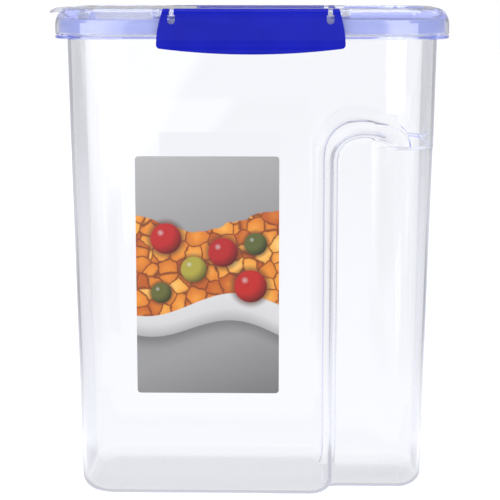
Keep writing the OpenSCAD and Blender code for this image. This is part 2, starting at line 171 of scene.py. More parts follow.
def fade_phase(k):
    """0 at the contour where the right leg starts to fall back and 1 at full depth."""
    return math.acos(1 - 2 * share_of(k)) / math.pi


def fall_slope(k, length):
    """Slope of a fall to the recess's depth over a length, at a contour."""
    return math.atan(RECESS_DEPTH * math.pi / 2 / length * math.sin(math.pi * fade_phase(k)))


def leg_end(k, off):
    """Height at which a contour reaches the lip at the right end of the arch."""
    return SHOULDER_Z - LIP_H * fade_phase(k) + off * math.sin(fall_slope(k, LIP_H))


def leg_r(k):
    return LEG_OUT + (LEG_IN - LEG_OUT) * fade_phase(k)


def right_depth(x, h, share):
    """Depth right of the arch's middle: the recess, and the bank up to the handle's front."""
    post = POST_RISE * unit(h / SHOULDER_Z)
    bank = (1 - math.cos(math.pi * unit((x - BANK_FROM) / (BANK_TO - BANK_FROM)))) / 2
    return min(share * RECESS_DEPTH, RECESS_DEPTH - post * bank)


def right_leg(start, k, off, top, end):
    """Points as (x, height, depth) on the right half of a contour, round the arch to the lip."""
    steep = math.cos(STATIONS[max(0, min(LAST, k))][0])
    level = math.cos(fall_slope(k, LIP_H))
    leg_x = ARCH_X + leg_r(k) + off * math.sin(fall_slope(k, LEG_OUT - LEG_IN))
    rows = []
    for i in range(ARCH_STEPS + 1):
        a = math.pi / 2 * i / ARCH_STEPS
        part = i / ARCH_STEPS
        rows.append((
            start + (leg_x - start) * math.sin(a) ** ARCH_POWER,
            end + (top - end) * math.cos(a) ** ARCH_POWER,
            off * ((1 - part) * steep + part * level) if 0 <= k <= LAST else off,
        ))
    return rows


def left_points(z, off, inset):
    """The left corner and the plain front up to the arch."""
    hx = half_x(z) - off - inset
    plain = half_y(z) - off - inset
    r = BODY_CORNER_R - off - inset
    points = []
    for i in range(CORNER_STEPS + 1):
        a = math.pi + math.pi / 2 * i / CORNER_STEPS
        points.append((-hx + r + r * math.cos(a), -plain + r + r * math.sin(a), z))
    points.append((-hx + r + FLAT_EDGE, -plain, z))
    points.append((ARCH_X - ARCH_R - 2 * FLAT_EDGE, -plain, z))
    return points


def edge_points(z, off, inset, k, rise, top_x):
    """The left edge of the recess; stations that aren't open yet wait beside the arch's top."""
    hy = half_y(z)
    points = []
    for i in range(LAST + 1):
        if k < 0:
            points.append((ARCH_X - ARCH_R * (1 - i / (LAST + 1)), -(hy - off - inset), z))
            continue
        opened = k > LAST or i < k
        if opened:
            shift = ARCH_SHIFT * share_of(i)
            low = unit(rise / station_v(i, off))
            half = (station_r(i, off, inset) + shift) * math.sqrt(max(0.0, 1 - low * low))
            x = min(ARCH_X + shift - half, top_x - STATION_GAP * (LAST + 2 - i))
        else:
            x = top_x - STATION_GAP * (LAST + 1 - i)
        depth = station_depth(i, off) if opened else ring_depth(k, off)
        points.append((x, -hy + depth + inset, z))
    return points


def arch_points(z, off, inset, k, top_x, end, plate, rr):
    """From the arch's top round to its lip."""
    hy, share = half_y(z), share_of(k)
    points = []
    for x, h, deeper in right_leg(top_x, k, off, z, end):
        depth = right_depth(x, h, share) + inset + deeper
        points.append((x, depth + corner_y(x, plate, rr) + (z - h) * TILT - hy, h))
    return points


def side_points(z, off, inset, k, end, plate, rr):
    """From the lip round the right corner."""
    hy, share = half_y(z), share_of(k)
    leg_x = ARCH_X + leg_r(k)
    flat = max(0.0, plate - leg_x)
    first = math.asin(unit((leg_x - plate) / rr))
    down = (z - end) * TILT
    points = []
    for i in range(SIDE_STEPS + 1):
        run = (flat + rr * (math.pi / 2 - first)) * (i + 0.5) / (SIDE_STEPS + 0.5)
        a = first + max(0.0, run - flat) / rr
        x = min(leg_x + run, plate) + rr * math.sin(a)
        depth = right_depth(x, end, share) + inset + off
        points.append((
            x - down * math.sin(a),
            depth + rr - rr * math.cos(a) + down * math.cos(a) - hy,
            end,
        ))
    return points


def half_ring(z, off, inset, k, rise, end):
    """Front half of one ring of the skin, from the left corner to the right one."""
    share = share_of(k)
    corner = right_depth(BANK_TO, end, share) / RECESS_DEPTH
    rr = BODY_CORNER_R + (NARROW_CORNER_R - BODY_CORNER_R) * corner - off - inset
    plate = half_x(z) - off - inset - rr
    top_x = ARCH_X + ARCH_SHIFT * share
    return (
        left_points(z, off, inset)
        + edge_points(z, off, inset, k, rise, top_x)
        + arch_points(z, off, inset, k, top_x, end, plate, rr)
        + side_points(z, off, inset, k, end, plate, rr)
    )


def ring(z, off, inset, k, rise, end):
    """A ring at z, opened to contour k, whose right end may lie at another height."""
    front = half_ring(z, off, inset, k, rise, end)
    return front + [(x, -y, h) for x, y, h in reversed(front)]


def full_ring(z, off, inset):
    return ring(z, off, inset, LAST + 1, -1.0, z)


def plain_ring(z, off, inset):
    return ring(z, off, inset, -1, 0.0, z)


def wall_rings(off):
    """Rings up the skin from the base fillet to above the arch."""
    low = LEG_END_Z
    lip = SHOULDER_Z - LIP_H
    top = ARCH_Z + station_v(LAST, off)
    rows = [full_ring(BASE_FILLET + FLAT_EDGE, off, 0)]
    rows += [full_ring(BASE_FILLET + (low - BASE_FILLET) * share, off, 0) for share in FOOT_SHARES]
    for i in range(1, LOWER_STEPS):
        z = low + (top - low) * i / LOWER_STEPS
        end = low + (lip - low) * i / LOWER_STEPS
        rows.append(ring(z, off, 0, LAST + 1, z - ARCH_Z, end))
    z = top - FLAT_EDGE
    rows.append(ring(z, off, 0, LAST + 1, z - ARCH_Z, lip - FLAT_EDGE))
    for k in range(LAST, -1, -1):
        rise = station_v(k, off)
        rows.append(ring(ARCH_Z + rise, off, 0, k, rise, leg_end(k, off)))
    top = ARCH_Z + station_v(0, off)
    rows.append(ring(top + FLAT_EDGE, off, 0, -1, 0.0, SHOULDER_Z + FLAT_EDGE))
    rows.append(plain_ring(top + 2 * FLAT_EDGE, off, 0))
    return rows


def fillet_rings(off, radius, upwards):
    """Rings round the base fillet."""
    steps = range(FILLET_STEPS, -1, -1) if upwards else range(FILLET_STEPS + 1)
    rows = []
    for i in steps:
        a = math.pi / 2 * i / FILLET_STEPS
        rows.append(full_ring(BASE_FILLET - radius * math.sin(a), off, radius * (1 - math.cos(a))))
    return rows


def rim_rings():
    """Rings round the flange and the rim, down to the inner face."""
    rim_out = RIM_INSET - OVERHANG
    rim_in = rim_out + WALL
    return [
        plain_ring(FLANGE_Z - EDGE, 0, 0),
        plain_ring(FLANGE_Z, 0, -EDGE),
        plain_ring(FLANGE_Z, 0, EDGE - OVERHANG),
        plain_ring(FLANGE_Z + EDGE, 0, -OVERHANG),
        plain_ring(FLANGE_TOP - EDGE, 0, -OVERHANG),
        plain_ring(FLANGE_TOP, 0, EDGE - OVERHANG),
        plain_ring(FLANGE_TOP, 0, rim_out),
        plain_ring(RIM_Z - EDGE, 0, rim_out),
        plain_ring(RIM_Z, 0, rim_out + EDGE),
        plain_ring(RIM_Z, 0, rim_in - EDGE),
        plain_ring(RIM_Z - EDGE, 0, rim_in),
        plain_ring(FLANGE_TOP, 0, rim_in),
        plain_ring(FLANGE_Z, WALL, 0),
    ]


def skin_rings():
    """Rings up the outer face, over the rim and down the inner face."""
    return (
        fillet_rings(0, BASE_FILLET, True) + wall_rings(0) + rim_rings()
        + list(reversed(wall_rings(WALL))) + fillet_rings(WALL, BASE_FILLET - WALL, False)
    )


def loft_faces(rows, n):
    """Faces of a closed loft of rings with n points each."""
    faces = [list(range(n))]
    for j in range(rows - 1):
        for i in range(n):
            a, b = j * n + i, j * n + (i + 1) % n
            faces.append((a, a + n, b + n, b))
    faces.append([(rows - 1) * n + i for i in range(n - 1, -1, -1)])
    return faces


def put(name, data):
    """A new object in the scene."""
    thing = bpy.data.objects.new(name, data)
    bpy.context.scene.collection.objects.link(thing)
    return thing


def mesh_piece(name, points, faces, material, body, replaced=()):
    mesh = bpy.data.meshes.new(name)
    mesh.from_pydata([(x * MM, y * MM, z * MM) for x, y, z in points], [], faces)
    mesh.validate()
    piece = put(name, mesh)
    mesh.materials.append(material)
    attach(piece, body)
    if replaced:
        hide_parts(*replaced)
    return piece


def smooth(piece):
    """Smooth shading, with creases where faces meet at more than CREASE."""
    mesh = piece.data
    build = bmesh.new()
    build.from_mesh(mesh)
    bmesh.ops.recalc_face_normals(build, faces=build.faces)
    for face in build.faces:
        face.smooth = True
    for link in build.edges:
        link.smooth = len(link.link_faces) == 2 and link.calc_face_angle(0.0) < CREASE
    build.to_mesh(mesh)
    build.free()


# Nodes
def new_material(name):
    """A material, its tree and its output."""
    material = bpy.data.materials.new(name)
    material.use_nodes = True
    tree = material.node_tree
    tree.nodes.clear()
    return material, tree, tree.nodes.new("ShaderNodeOutputMaterial")


def add(tree, kind, **inputs):
    """A node with values for its inputs, _ standing for a space in their names."""
    node = tree.nodes.new(kind)
    for key, value in inputs.items():
        node.inputs[key.replace("_", " ")].default_value = value
    return node


def object_place(tree):
    return tree.nodes.new("ShaderNodeTexCoord").outputs["Object"]


def split(tree, vector):
    """X, Y and Z of a vector."""
    parts = tree.nodes.new("ShaderNodeSeparateXYZ")
    tree.links.new(vector, parts.inputs[0])
    return parts.outputs


def calc(tree, operation, *values):
    """A Math node over sockets and numbers."""
    node = tree.nodes.new("ShaderNodeMath")
    node.operation = operation
    for slot, value in zip(node.inputs, values):
        if isinstance(value, (int, float)):
            slot.default_value = value
        else:
            tree.links.new(value, slot)
    return node.outputs[0]


def minus(tree, value):
    return calc(tree, "MULTIPLY", value, -1)


def distance(tree, dx, dz):
    squares = calc(tree, "MULTIPLY", dx, dx), calc(tree, "MULTIPLY", dz, dz)
    return calc(tree, "SQRT", calc(tree, "ADD", *squares))


def step_up(tree, value, start, end, smooth_step=True):
    """0 below start and 1 above end."""
    node = add(tree, "ShaderNodeMapRange", From_Min=start, From_Max=end)
    node.interpolation_type = "SMOOTHSTEP" if smooth_step else "LINEAR"
    tree.links.new(value, node.inputs["Value"])
    return node.outputs["Result"]


def between(tree, share, start, end):
    """start where share is 0 and end where it is 1."""
    return calc(tree, "MULTIPLY_ADD", share, end - start, start)


def ramp(tree, value, stops):
    """Colour along stops of (place, colour)."""
    node = tree.nodes.new("ShaderNodeValToRGB")
    points = node.color_ramp.elements
    while len(points) < len(stops):
        points.new(0.5)
    for point, (place, colour) in zip(points, stops):
        point.position = place
        point.color = (*colour, 1)
    tree.links.new(value, node.inputs["Fac"])
    return node.outputs["Color"]


def blend_colour(tree, share, under, over):
    """Colour over laid on colour under by a share."""
    node = tree.nodes.new("ShaderNodeMix")
    node.data_type = "RGBA"
    sockets = [item for item in node.inputs if item.type == "RGBA"]
    for slot, value in zip(sockets, (under, over)):
        if isinstance(value, tuple):
            slot.default_value = (*value, 1)
        else:
            tree.links.new(value, slot)
    tree.links.new(share, node.inputs["Factor"])
    return [item for item in node.outputs if item.type == "RGBA"][0]


def switch(tree, share, off, on):
    """Shader off where share is 0 and shader on where it is 1."""
    node = tree.nodes.new("ShaderNodeMixShader")
    for slot, value in zip(node.inputs, (share, off, on)):
        tree.links.new(value, slot)
    return node.outputs[0]


def fine_grain(tree, shader, grain):
    """Bump of a surface on a shader by (scale, strength); gives the noise that it follows."""
    scale, strength = grain
    noise = add(tree, "ShaderNodeTexNoise", Scale=scale, Detail=3.0, Roughness=0.5)
    bump = add(tree, "ShaderNodeBump", Strength=strength, Distance=GRAIN_DEPTH)
    tree.links.new(object_place(tree), noise.inputs["Vector"])
    tree.links.new(noise.outputs["Fac"], bump.inputs["Height"])
    tree.links.new(bump.outputs["Normal"], shader.inputs["Normal"])
    return noise.outputs["Fac"]


# Grain of surfaces, as (scale, strength), and clear plastics: their tint, and the tint of the
# light of lamps that shine through
GRAIN_DEPTH = 0.0002
CLEAR_GRAIN = (45.0, 0.01)
SOLID_GRAIN = (60.0, 0.05)
FILM_GRAIN = (300.0, 0.04)
CLEAR_IOR = 1.49
SOLID_IOR = 1.5
BODY_TINT = (0.99, 0.992, 1.0)
BODY_SHADE = (0.95, 0.955, 0.98)
BODY_ROUGH = 0.02
LID_TINT = (0.965, 0.967, 0.98)
LID_SHADE = (0.94, 0.95, 0.98)
LID_ROUGH = 0.04
LID_CLEAR = 0.94
# The thumb tab is greyer, over a stretch in metres from the middle
TAB_TINT = (0.60, 0.60, 0.61)
TAB_FROM = 0.1095
TAB_TO = 0.113
# Painted glow: an emission that a clear wall gives off where a ray has bounced many times,
# standing in for light that stays in the wall; and the colour of its thickness
PAINTED_GLOW_DEPTH = 10
PAINTED_GLOW_LEVEL = 1.05
BODY_PAINTED_GLOW = (0.83, 0.86, 1.0)
LID_PAINTED_GLOW = (0.86, 0.87, 0.92)
DEPTH_COLOUR = (0.25, 0.32, 0.8)
DEPTH_DENSITY = 14.0
# Solid plastics, as colour, darker colour, roughness and gloss
CLIP_PLASTIC = ((0.008, 0.014, 0.46), (0.006, 0.011, 0.40), 0.35, 0.05)
SEAL_PLASTIC = ((0.285, 0.35, 0.84), (0.26, 0.325, 0.80), 0.45, 0.5)


def clear_plastic(name, tint, shade, painted_glow_tint, roughness, clear=1.0):
    """Clear moulded plastic that lets lamps through; what isn't clear in it is haze, and rays deep
    in it get a painted glow.
    """
    material, tree, out = new_material(name)
    glass = add(
        tree, "ShaderNodeBsdfPrincipled", Roughness=roughness, IOR=CLEAR_IOR,
        Transmission_Weight=clear, Base_Color=(*tint, 1), Emission_Color=(*painted_glow_tint, 1),
    )
    fine_grain(tree, glass, CLEAR_GRAIN)
    path = tree.nodes.new("ShaderNodeLightPath")
    # Painted glow: an emission in the glow colour on rays that are past many bounces
    painted_glow_rays = calc(tree, "COMPARE", path.outputs["Ray Depth"], PAINTED_GLOW_DEPTH, 0.5)
    tree.links.new(calc(tree, "MULTIPLY", painted_glow_rays, PAINTED_GLOW_LEVEL), glass.inputs["Emission Strength"])
    through = add(tree, "ShaderNodeBsdfTransparent", Color=(*shade, 1))
    passing = calc(tree, "MAXIMUM", path.outputs["Is Shadow Ray"], path.outputs["Is Diffuse Ray"])
    surface = switch(tree, passing, glass.outputs[0], through.outputs[0])
    tree.links.new(surface, out.inputs["Surface"])
    depth = add(
        tree, "ShaderNodeVolumeAbsorption", Color=(*DEPTH_COLOUR, 1), Density=DEPTH_DENSITY,
    )
    tree.links.new(depth.outputs[0], out.inputs["Volume"])
    return material


def lid_plastic(name):
    return clear_plastic(name, LID_TINT, LID_SHADE, LID_PAINTED_GLOW, LID_ROUGH, LID_CLEAR)


def cap_plastic(name):
    """The lid's plastic, greyer in the thin thumb tab that stands out at the end."""
    material = lid_plastic(name)
    tree = material.node_tree
    glass = next(node for node in tree.nodes if node.type == "BSDF_PRINCIPLED")
    left = minus(tree, split(tree, object_place(tree))["X"])
    tint = blend_colour(tree, step_up(tree, left, TAB_FROM, TAB_TO), LID_TINT, TAB_TINT)
    tree.links.new(tint, glass.inputs["Base Color"])
    return material


def solid_plastic(name, colour, darker, roughness, gloss):
    """Opaque moulded plastic with a slight colour flow and grain."""
    material, tree, out = new_material(name)
    body = add(
        tree, "ShaderNodeBsdfPrincipled",
        Roughness=roughness, IOR=SOLID_IOR, Specular_IOR_Level=gloss,
    )
    flow = ramp(tree, fine_grain(tree, body, SOLID_GRAIN), ((0.3, darker), (0.7, colour)))
    tree.links.new(flow, body.inputs["Base Color"])
    tree.links.new(body.outputs[0], out.inputs["Surface"])
    return material


# Print of the label, in millimetres from its middle
LABEL_X = -25.3
LABEL_Z = 134.0
GROUND_SLANT = -0.35
GROUND_SPAN = 168
RIBBON = 15.0
RIBBON_GROWTH = 0.08
RIBBON_ROUND = 6.0
CAST_DROP = 9.0
CAST_SHARE = 0.6
RAGGED = 9.0
RAGGED_SCALE = 110.0
FLAKE = 8.5
FLAKE_GAP_W = 0.09
WARP = 0.004
WARP_SCALE = 160.0
PRINT_BLUR = 0.3
BANK_BLUR = 0.4
FILM_ROUGH = 0.35
FILM_GLOSS = 0.3
# Waves of the bank's top and foot, as (height, swing, phase)
WAVE = 2 * math.pi / 104
BANK_TOP = (33.0, 6.0, -1.1)
BANK_FOOT = (-17.0, 7.0, 0.6)
# Light and shadow of a berry, as shares of its radius and of its colour
LIT_LEFT = 0.35
LIT_UP = 0.38
LIT_REACH = 1.5
SHADOW_FROM = 1.45
SHADOW_TO = 0.95
SHADOW_SHARE = 0.75
DARK_SIDE = 0.16
PALE_SIDE = 0.5
PALE_LIFT = 0.38
# Berries as (x, z, radius, colour)
BERRIES = (
    (-24.0, 22.0, 9.0, (0.50, 0.012, 0.014)),
    (-8.0, 4.0, 7.5, (0.42, 0.36, 0.05)),
    (9.0, 14.0, 8.5, (0.46, 0.014, 0.016)),
    (25.0, -6.0, 9.5, (0.52, 0.016, 0.014)),
    (28.0, 19.0, 6.5, (0.10, 0.12, 0.03)),
    (-27.0, -10.0, 6.0, (0.12, 0.13, 0.03)),
)
# Its colours, as stops of (place, colour) where they run
GROUND = (
    (0.0, (0.19, 0.19, 0.195)),
    (0.25, (0.33, 0.33, 0.34)),
    (0.6, (0.30, 0.295, 0.305)),
    (1.0, (0.47, 0.47, 0.48)),
)
RIBBON_SHADE = (
    (0.0, (0.42, 0.42, 0.43)),
    (0.35, (0.68, 0.68, 0.69)),
    (0.8, (0.72, 0.72, 0.73)),
    (1.0, (0.50, 0.49, 0.48)),
)
FLAKE_TONES = (
    (0.05, (0.95, 0.62, 0.20)),
    (0.3, (0.90, 0.42, 0.07)),
    (0.55, (0.80, 0.26, 0.03)),
    (0.9, (0.52, 0.11, 0.015)),
)
FLAKE_GAP = (0.22, 0.045, 0.01)
CAST = (0.12, 0.12, 0.125)
BERRY_CAST = (0.12, 0.03, 0.015)
FILM_BACK = (0.82, 0.82, 0.83)


def wavy(tree, across, height, swing, phase):
    """Height of a wave over the label's width."""
    turn = calc(tree, "SINE", calc(tree, "MULTIPLY_ADD", across, WAVE, phase))
    return calc(tree, "MULTIPLY_ADD", turn, swing, height)


def flakes(tree, place):
    """Toasted flakes: curled cells of changing colour with dark gaps."""
    warp = add(tree, "ShaderNodeTexNoise", Scale=WARP_SCALE, Detail=2.0)
    tree.links.new(place, warp.inputs["Vector"])
    moved = tree.nodes.new("ShaderNodeVectorMath")
    moved.operation = "MULTIPLY_ADD"
    moved.inputs[1].default_value = (WARP, 0.0, WARP)
    tree.links.new(warp.outputs["Color"], moved.inputs[0])
    tree.links.new(place, moved.inputs[2])
    cells = add(tree, "ShaderNodeTexVoronoi", Scale=1000 / FLAKE)
    gaps = add(tree, "ShaderNodeTexVoronoi", Scale=1000 / FLAKE)
    gaps.feature = "DISTANCE_TO_EDGE"
    for node in (cells, gaps):
        tree.links.new(moved.outputs[0], node.inputs["Vector"])
    parts = tree.nodes.new("ShaderNodeSeparateColor")
    tree.links.new(cells.outputs["Color"], parts.inputs[0])
    own = calc(tree, "MULTIPLY", parts.outputs[0], 0.75)
    tone = calc(tree, "MULTIPLY_ADD", cells.outputs["Distance"], 0.45, own)
    inside = step_up(tree, gaps.outputs["Distance"], 0.0, FLAKE_GAP_W)
    return blend_colour(tree, inside, FLAKE_GAP, ramp(tree, tone, FLAKE_TONES))


def berry(tree, under, across, up, x, z, radius, colour):
    """A round berry with a shaded edge, a small highlight and a shadow."""
    dx = calc(tree, "SUBTRACT", across, x)
    dz = calc(tree, "SUBTRACT", up, z)
    near = minus(tree, distance(tree, dx, dz))
    lit_x = calc(tree, "ADD", dx, radius * LIT_LEFT)
    lit_z = calc(tree, "SUBTRACT", dz, radius * LIT_UP)
    lit = calc(tree, "DIVIDE", distance(tree, lit_x, lit_z), radius * LIT_REACH)
    dark = tuple(channel * DARK_SIDE for channel in colour)
    pale = tuple(channel * PALE_SIDE + PALE_LIFT for channel in colour)
    skin = ramp(tree, lit, ((0.0, pale), (0.16, colour), (0.55, colour), (1.0, dark)))
    shadow = step_up(tree, near, -radius * SHADOW_FROM, -radius * SHADOW_TO)
    shadow = calc(tree, "MULTIPLY", shadow, SHADOW_SHARE)
    shaded = blend_colour(tree, shadow, under, BERRY_CAST)
    inside = step_up(tree, near, -radius - PRINT_BLUR, -radius + PRINT_BLUR)
    return blend_colour(tree, inside, shaded, skin)


def ribbon(tree, under, across, up, foot):
    """The white ribbon below the bank and the shadow that it casts."""
    ribbon_foot = calc(
        tree, "SUBTRACT", foot, calc(tree, "MULTIPLY_ADD", across, RIBBON_GROWTH, RIBBON),
    )
    over = calc(tree, "SUBTRACT", up, ribbon_foot)
    shade = ramp(tree, calc(tree, "DIVIDE", over, RIBBON + RIBBON_ROUND), RIBBON_SHADE)
    cast = calc(tree, "MULTIPLY", step_up(tree, over, -CAST_DROP, 0.0), CAST_SHARE)
    colour = blend_colour(tree, cast, under, CAST)
    return blend_colour(tree, step_up(tree, over, -PRINT_BLUR, PRINT_BLUR), colour, shade)


def bank_edge(tree, place, across, up):
    """More than 0 above the ragged top of the bank."""
    noise = add(tree, "ShaderNodeTexNoise", Scale=RAGGED_SCALE, Detail=1.0)
    tree.links.new(place, noise.inputs["Vector"])
    over = calc(tree, "SUBTRACT", up, wavy(tree, across, *BANK_TOP))
    over = calc(tree, "SUBTRACT", over, RAGGED / 2)
    return calc(tree, "MULTIPLY_ADD", noise.outputs["Fac"], RAGGED, over)


def label_print(name):
    """Printed film: a grey ground, a bank of flakes with berries, and a white ribbon below it."""
    material, tree, out = new_material(name)
    film = add(
        tree, "ShaderNodeBsdfPrincipled",
        Roughness=FILM_ROUGH, IOR=SOLID_IOR, Specular_IOR_Level=FILM_GLOSS,
    )
    place = object_place(tree)
    parts = split(tree, place)
    across = calc(tree, "MULTIPLY_ADD", parts["X"], 1000.0, -LABEL_X)
    up = calc(tree, "MULTIPLY_ADD", parts["Z"], 1000.0, -LABEL_Z)
    slant = calc(tree, "MULTIPLY_ADD", across, GROUND_SLANT, up)
    ground = ramp(tree, calc(tree, "MULTIPLY_ADD", slant, 1 / GROUND_SPAN, 0.5), GROUND)
    foot = wavy(tree, across, *BANK_FOOT)
    below = step_up(tree, calc(tree, "SUBTRACT", foot, up), -BANK_BLUR, BANK_BLUR)
    above = step_up(tree, bank_edge(tree, place, across, up), -BANK_BLUR, BANK_BLUR)
    colour = blend_colour(tree, below, flakes(tree, place), ribbon(tree, ground, across, up, foot))
    colour = blend_colour(tree, above, colour, ground)
    for x, z, radius, tone in BERRIES:
        colour = berry(tree, colour, across, up, x, z, radius, tone)
    normal = tree.nodes.new("ShaderNodeTexCoord").outputs["Normal"]
    front = calc(tree, "LESS_THAN", split(tree, normal)["Y"], -0.5)
    colour = blend_colour(tree, front, FILM_BACK, colour)
    tree.links.new(colour, film.inputs["Base Color"])
    fine_grain(tree, film, FILM_GRAIN)
    tree.links.new(film.outputs[0], out.inputs["Surface"])
    return material


CLEAR_BODY = clear_plastic("clear_body", BODY_TINT, BODY_SHADE, BODY_PAINTED_GLOW, BODY_ROUGH)
CLEAR_LID = lid_plastic("clear_lid")
CLEAR_CAP = cap_plastic("clear_cap")
BLUE = solid_plastic("blue_clip", *CLIP_PLASTIC)
SEAL = solid_plastic("seal", *SEAL_PLASTIC)
LABEL = label_print("label_film")

# Materials of the CAD nodes that are carried over
DRESSED = (
    ("lid", CLEAR_LID),
    ("flip_cap", CLEAR_CAP),
    ("lid_seal", SEAL),
    ("flip_cap_seal", SEAL),
    ("front_clip", BLUE),
    ("rear_clip", BLUE),
    ("label", LABEL),
)


def build_container():
    rows = skin_rings()
    n = len(rows[0])
    points = [p for row in rows for p in row]
    faces = loft_faces(len(rows), n)
    piece = mesh_piece("container_skin", points, faces, CLEAR_BODY, "container", ("container",))
    smooth(piece)
    return piece


def dress(node, material):
    """A carried-over CAD node gets its material."""
    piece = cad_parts[node]
    piece.data.materials.clear()
    piece.data.materials.append(material)
    for slot in piece.material_slots:
        slot.link = "DATA"
        slot.material = material


# Camera: place in millimetres, angles in radians, focal length in pixels, clips in metres
CAMERA_AT = (20.1, -1012.5, 307.3)
CAMERA_YAW = -0.0215
CAMERA_TILT = 0.162
FOCAL_PX = 1690.0
PICTURE_PX = 500
SENSOR = 36.0
CLIP_START = 0.05
CLIP_END = 50.0

# Room that reflections show: white panels on its four walls, dark corners, a duller back wall
PANEL = 1.0
DARK_CORNER = 0.85
CORNER_FROM = 0.3
CORNER_TO = 0.47
BACK_WALL = 0.55
BACK_FROM = 0.6
BACK_TO = 0.97
ROOM_COLOUR = (0.97, 0.975, 1.0)
# Its floor as reflections show it, in metres, with painted light and shade: bright strips out to
# the four panels, duller far off, behind and beside, and a painted contact shadow by the object
STRIP = 0.25
STRIP_END = 0.5
NEAR_LEVEL = 1.2
FAR_LEVEL = 0.75
FAR = 2.2
BEHIND_LEVEL = 0.8
BEHIND_FROM = 0.03
BEHIND_TO = 0.12
SIDE_LEVEL = 0.6
SIDE_FROM = 0.2
SIDE_TO = 0.4
PAINTED_CONTACT_SHADE = 0.55
CONTACT = 0.05
# Glow of the left window on the floor before it
GLOW = 1.0
GLOW_NEAR = 0.6
GLOW_X = 0.19
GLOW_BLUR = 0.02
# What is seen through the plastic: the floor under the object has a painted shade, and the ceiling
# is duller
THROUGH = 1.0
UNDER_PAINTED_SHADE = 0.975
CEILING_LEVEL = 0.5
CEILING_FROM = 0.15
CEILING_TO = 0.6
# What the camera sees, and what lights matt surfaces
WHITE = (1, 1, 1, 1)
SEEN = 1.0
FILL = 0.5
PAPER = (0.85, 0.85, 0.86, 1)
PAPER_GLOW = 0.6
FLOOR_HALF = 6.0
FLOOR_DROP = 0.0004

# Windows in front of the object, in metres: left and right edge, foot, top and brightness
WINDOW_Y = -1.15
WINDOW_LEVEL = 5.5
WINDOWS = (
    ("left_window", -0.40, -0.198, 0.03, 0.9, WINDOW_LEVEL),
    ("left_window_side", -0.95, -0.40, 0.16, 0.9, WINDOW_LEVEL),
    ("left_window_far", -1.5, -0.95, 0.21, 0.6, WINDOW_LEVEL),
    ("left_window_edge", -0.198, -0.1775, 0.01, 0.9, 0.6 * WINDOW_LEVEL),
    ("right_window", 0.142, 0.44, 0.10, 0.9, WINDOW_LEVEL),
    ("right_window_far", 0.44, 0.97, 0.21, 0.6, WINDOW_LEVEL),
)
# Soft boxes, in metres: place, height aimed at, size, power, and whether reflections show it
SOFT_BOXES = (
    ("left_box", (-1.5, -0.9, 1.0), 0.15, (0.8, 1.2), 3.5, False),
    ("right_box", (1.5, -0.9, 1.0), 0.15, (0.8, 1.2), 3.5, False),
    ("front_box", (0, -1.6, 0.6), 0.15, (2.2, 1.0), 9, False),
    ("top_box", (0, 0.1, 1.6), 0.1, (1.4, 1.0), 13, True),
)
LIGHT_BOUNCES = 32


def aim(thing, ahead):
    """Turns a camera or lamp to look ahead."""
    thing.rotation_mode = "QUATERNION"
    thing.rotation_quaternion = ahead.to_track_quat("-Z", "Y")


def build_camera():
    data = bpy.data.cameras.new("camera")
    camera = put("camera", data)
    camera.location = Vector(CAMERA_AT) * MM
    aim(camera, Vector((
        math.sin(CAMERA_YAW) * math.cos(CAMERA_TILT),
        math.cos(CAMERA_YAW) * math.cos(CAMERA_TILT),
        -math.sin(CAMERA_TILT),
    )))
    data.sensor_width = SENSOR
    data.lens = SENSOR * FOCAL_PX / PICTURE_PX
    data.clip_start = CLIP_START
    data.clip_end = CLIP_END
    bpy.context.scene.camera = camera


def area_light(name, place, target, size, power, mirrored=True):
    """A soft box that lights and is mirrored, and isn't seen itself."""
    data = bpy.data.lights.new(name, "AREA")
    data.shape = "RECTANGLE"
    data.size, data.size_y = size
    data.energy = power
    lamp = put(name, data)
    lamp.location = place
    aim(lamp, Vector(target) - Vector(place))
    lamp.visible_camera = False
    lamp.visible_transmission = False
    lamp.visible_glossy = mirrored
    return lamp


def window(name, left, right, foot, top, level):
    """An upright soft box that shows in the walls as a window does."""
    x, z = (left + right) / 2, (foot + top) / 2
    size = (right - left, top - foot)
    power = math.pi * size[0] * size[1] * level
    lamp = area_light(name, (x, WINDOW_Y, z), (x, 0, z), size, power)
    lamp.visible_diffuse = False


def mirrored_depth(tree, path):
    """1 for what is seen in a reflection, also through clear plastic."""
    return calc(tree, "GREATER_THAN", path.outputs["Glossy Depth"], 0.5)


def room_light(tree, direction):
    """Level of the mirrored room in a direction."""
    level = tree.nodes.new("ShaderNodeVectorMath")
    level.operation = "MULTIPLY"
    level.inputs[1].default_value = (1, 1, 0)
    flat = tree.nodes.new("ShaderNodeVectorMath")
    flat.operation = "NORMALIZE"
    tree.links.new(direction, level.inputs[0])
    tree.links.new(level.outputs[0], flat.inputs[0])
    parts = split(tree, flat.outputs[0])
    diagonal = calc(tree, "ABSOLUTE", calc(tree, "MULTIPLY", parts["X"], parts["Y"]))
    corner = step_up(tree, diagonal, CORNER_FROM, CORNER_TO)
    back = step_up(tree, parts["Y"], BACK_FROM, BACK_TO)
    return calc(
        tree, "MULTIPLY",
        between(tree, corner, PANEL, DARK_CORNER), between(tree, back, 1.0, BACK_WALL),
    )


def from_footprint(tree, x, y):
    """How far a place on the floor lies outside the object's footprint, less than 0 under it."""
    over_x = calc(tree, "SUBTRACT", x, half_x(0) * MM)
    over_y = calc(tree, "SUBTRACT", y, half_y(0) * MM)
    return calc(tree, "MAXIMUM", over_x, over_y)


def under_object(tree, place):
    """Level of the floor seen through the plastic, with a painted shade under the object's
    footprint.
    """
    parts = split(tree, place)
    x, y = calc(tree, "ABSOLUTE", parts["X"]), calc(tree, "ABSOLUTE", parts["Y"])
    clear = step_up(tree, from_footprint(tree, x, y), -CONTACT / 3, CONTACT / 3)
    return between(tree, clear, UNDER_PAINTED_SHADE, THROUGH)


def ceiling(tree, direction):
    """Level of the room seen through the plastic in a direction."""
    up = step_up(tree, split(tree, direction)["Z"], CEILING_FROM, CEILING_TO)
    return between(tree, up, THROUGH, CEILING_LEVEL)


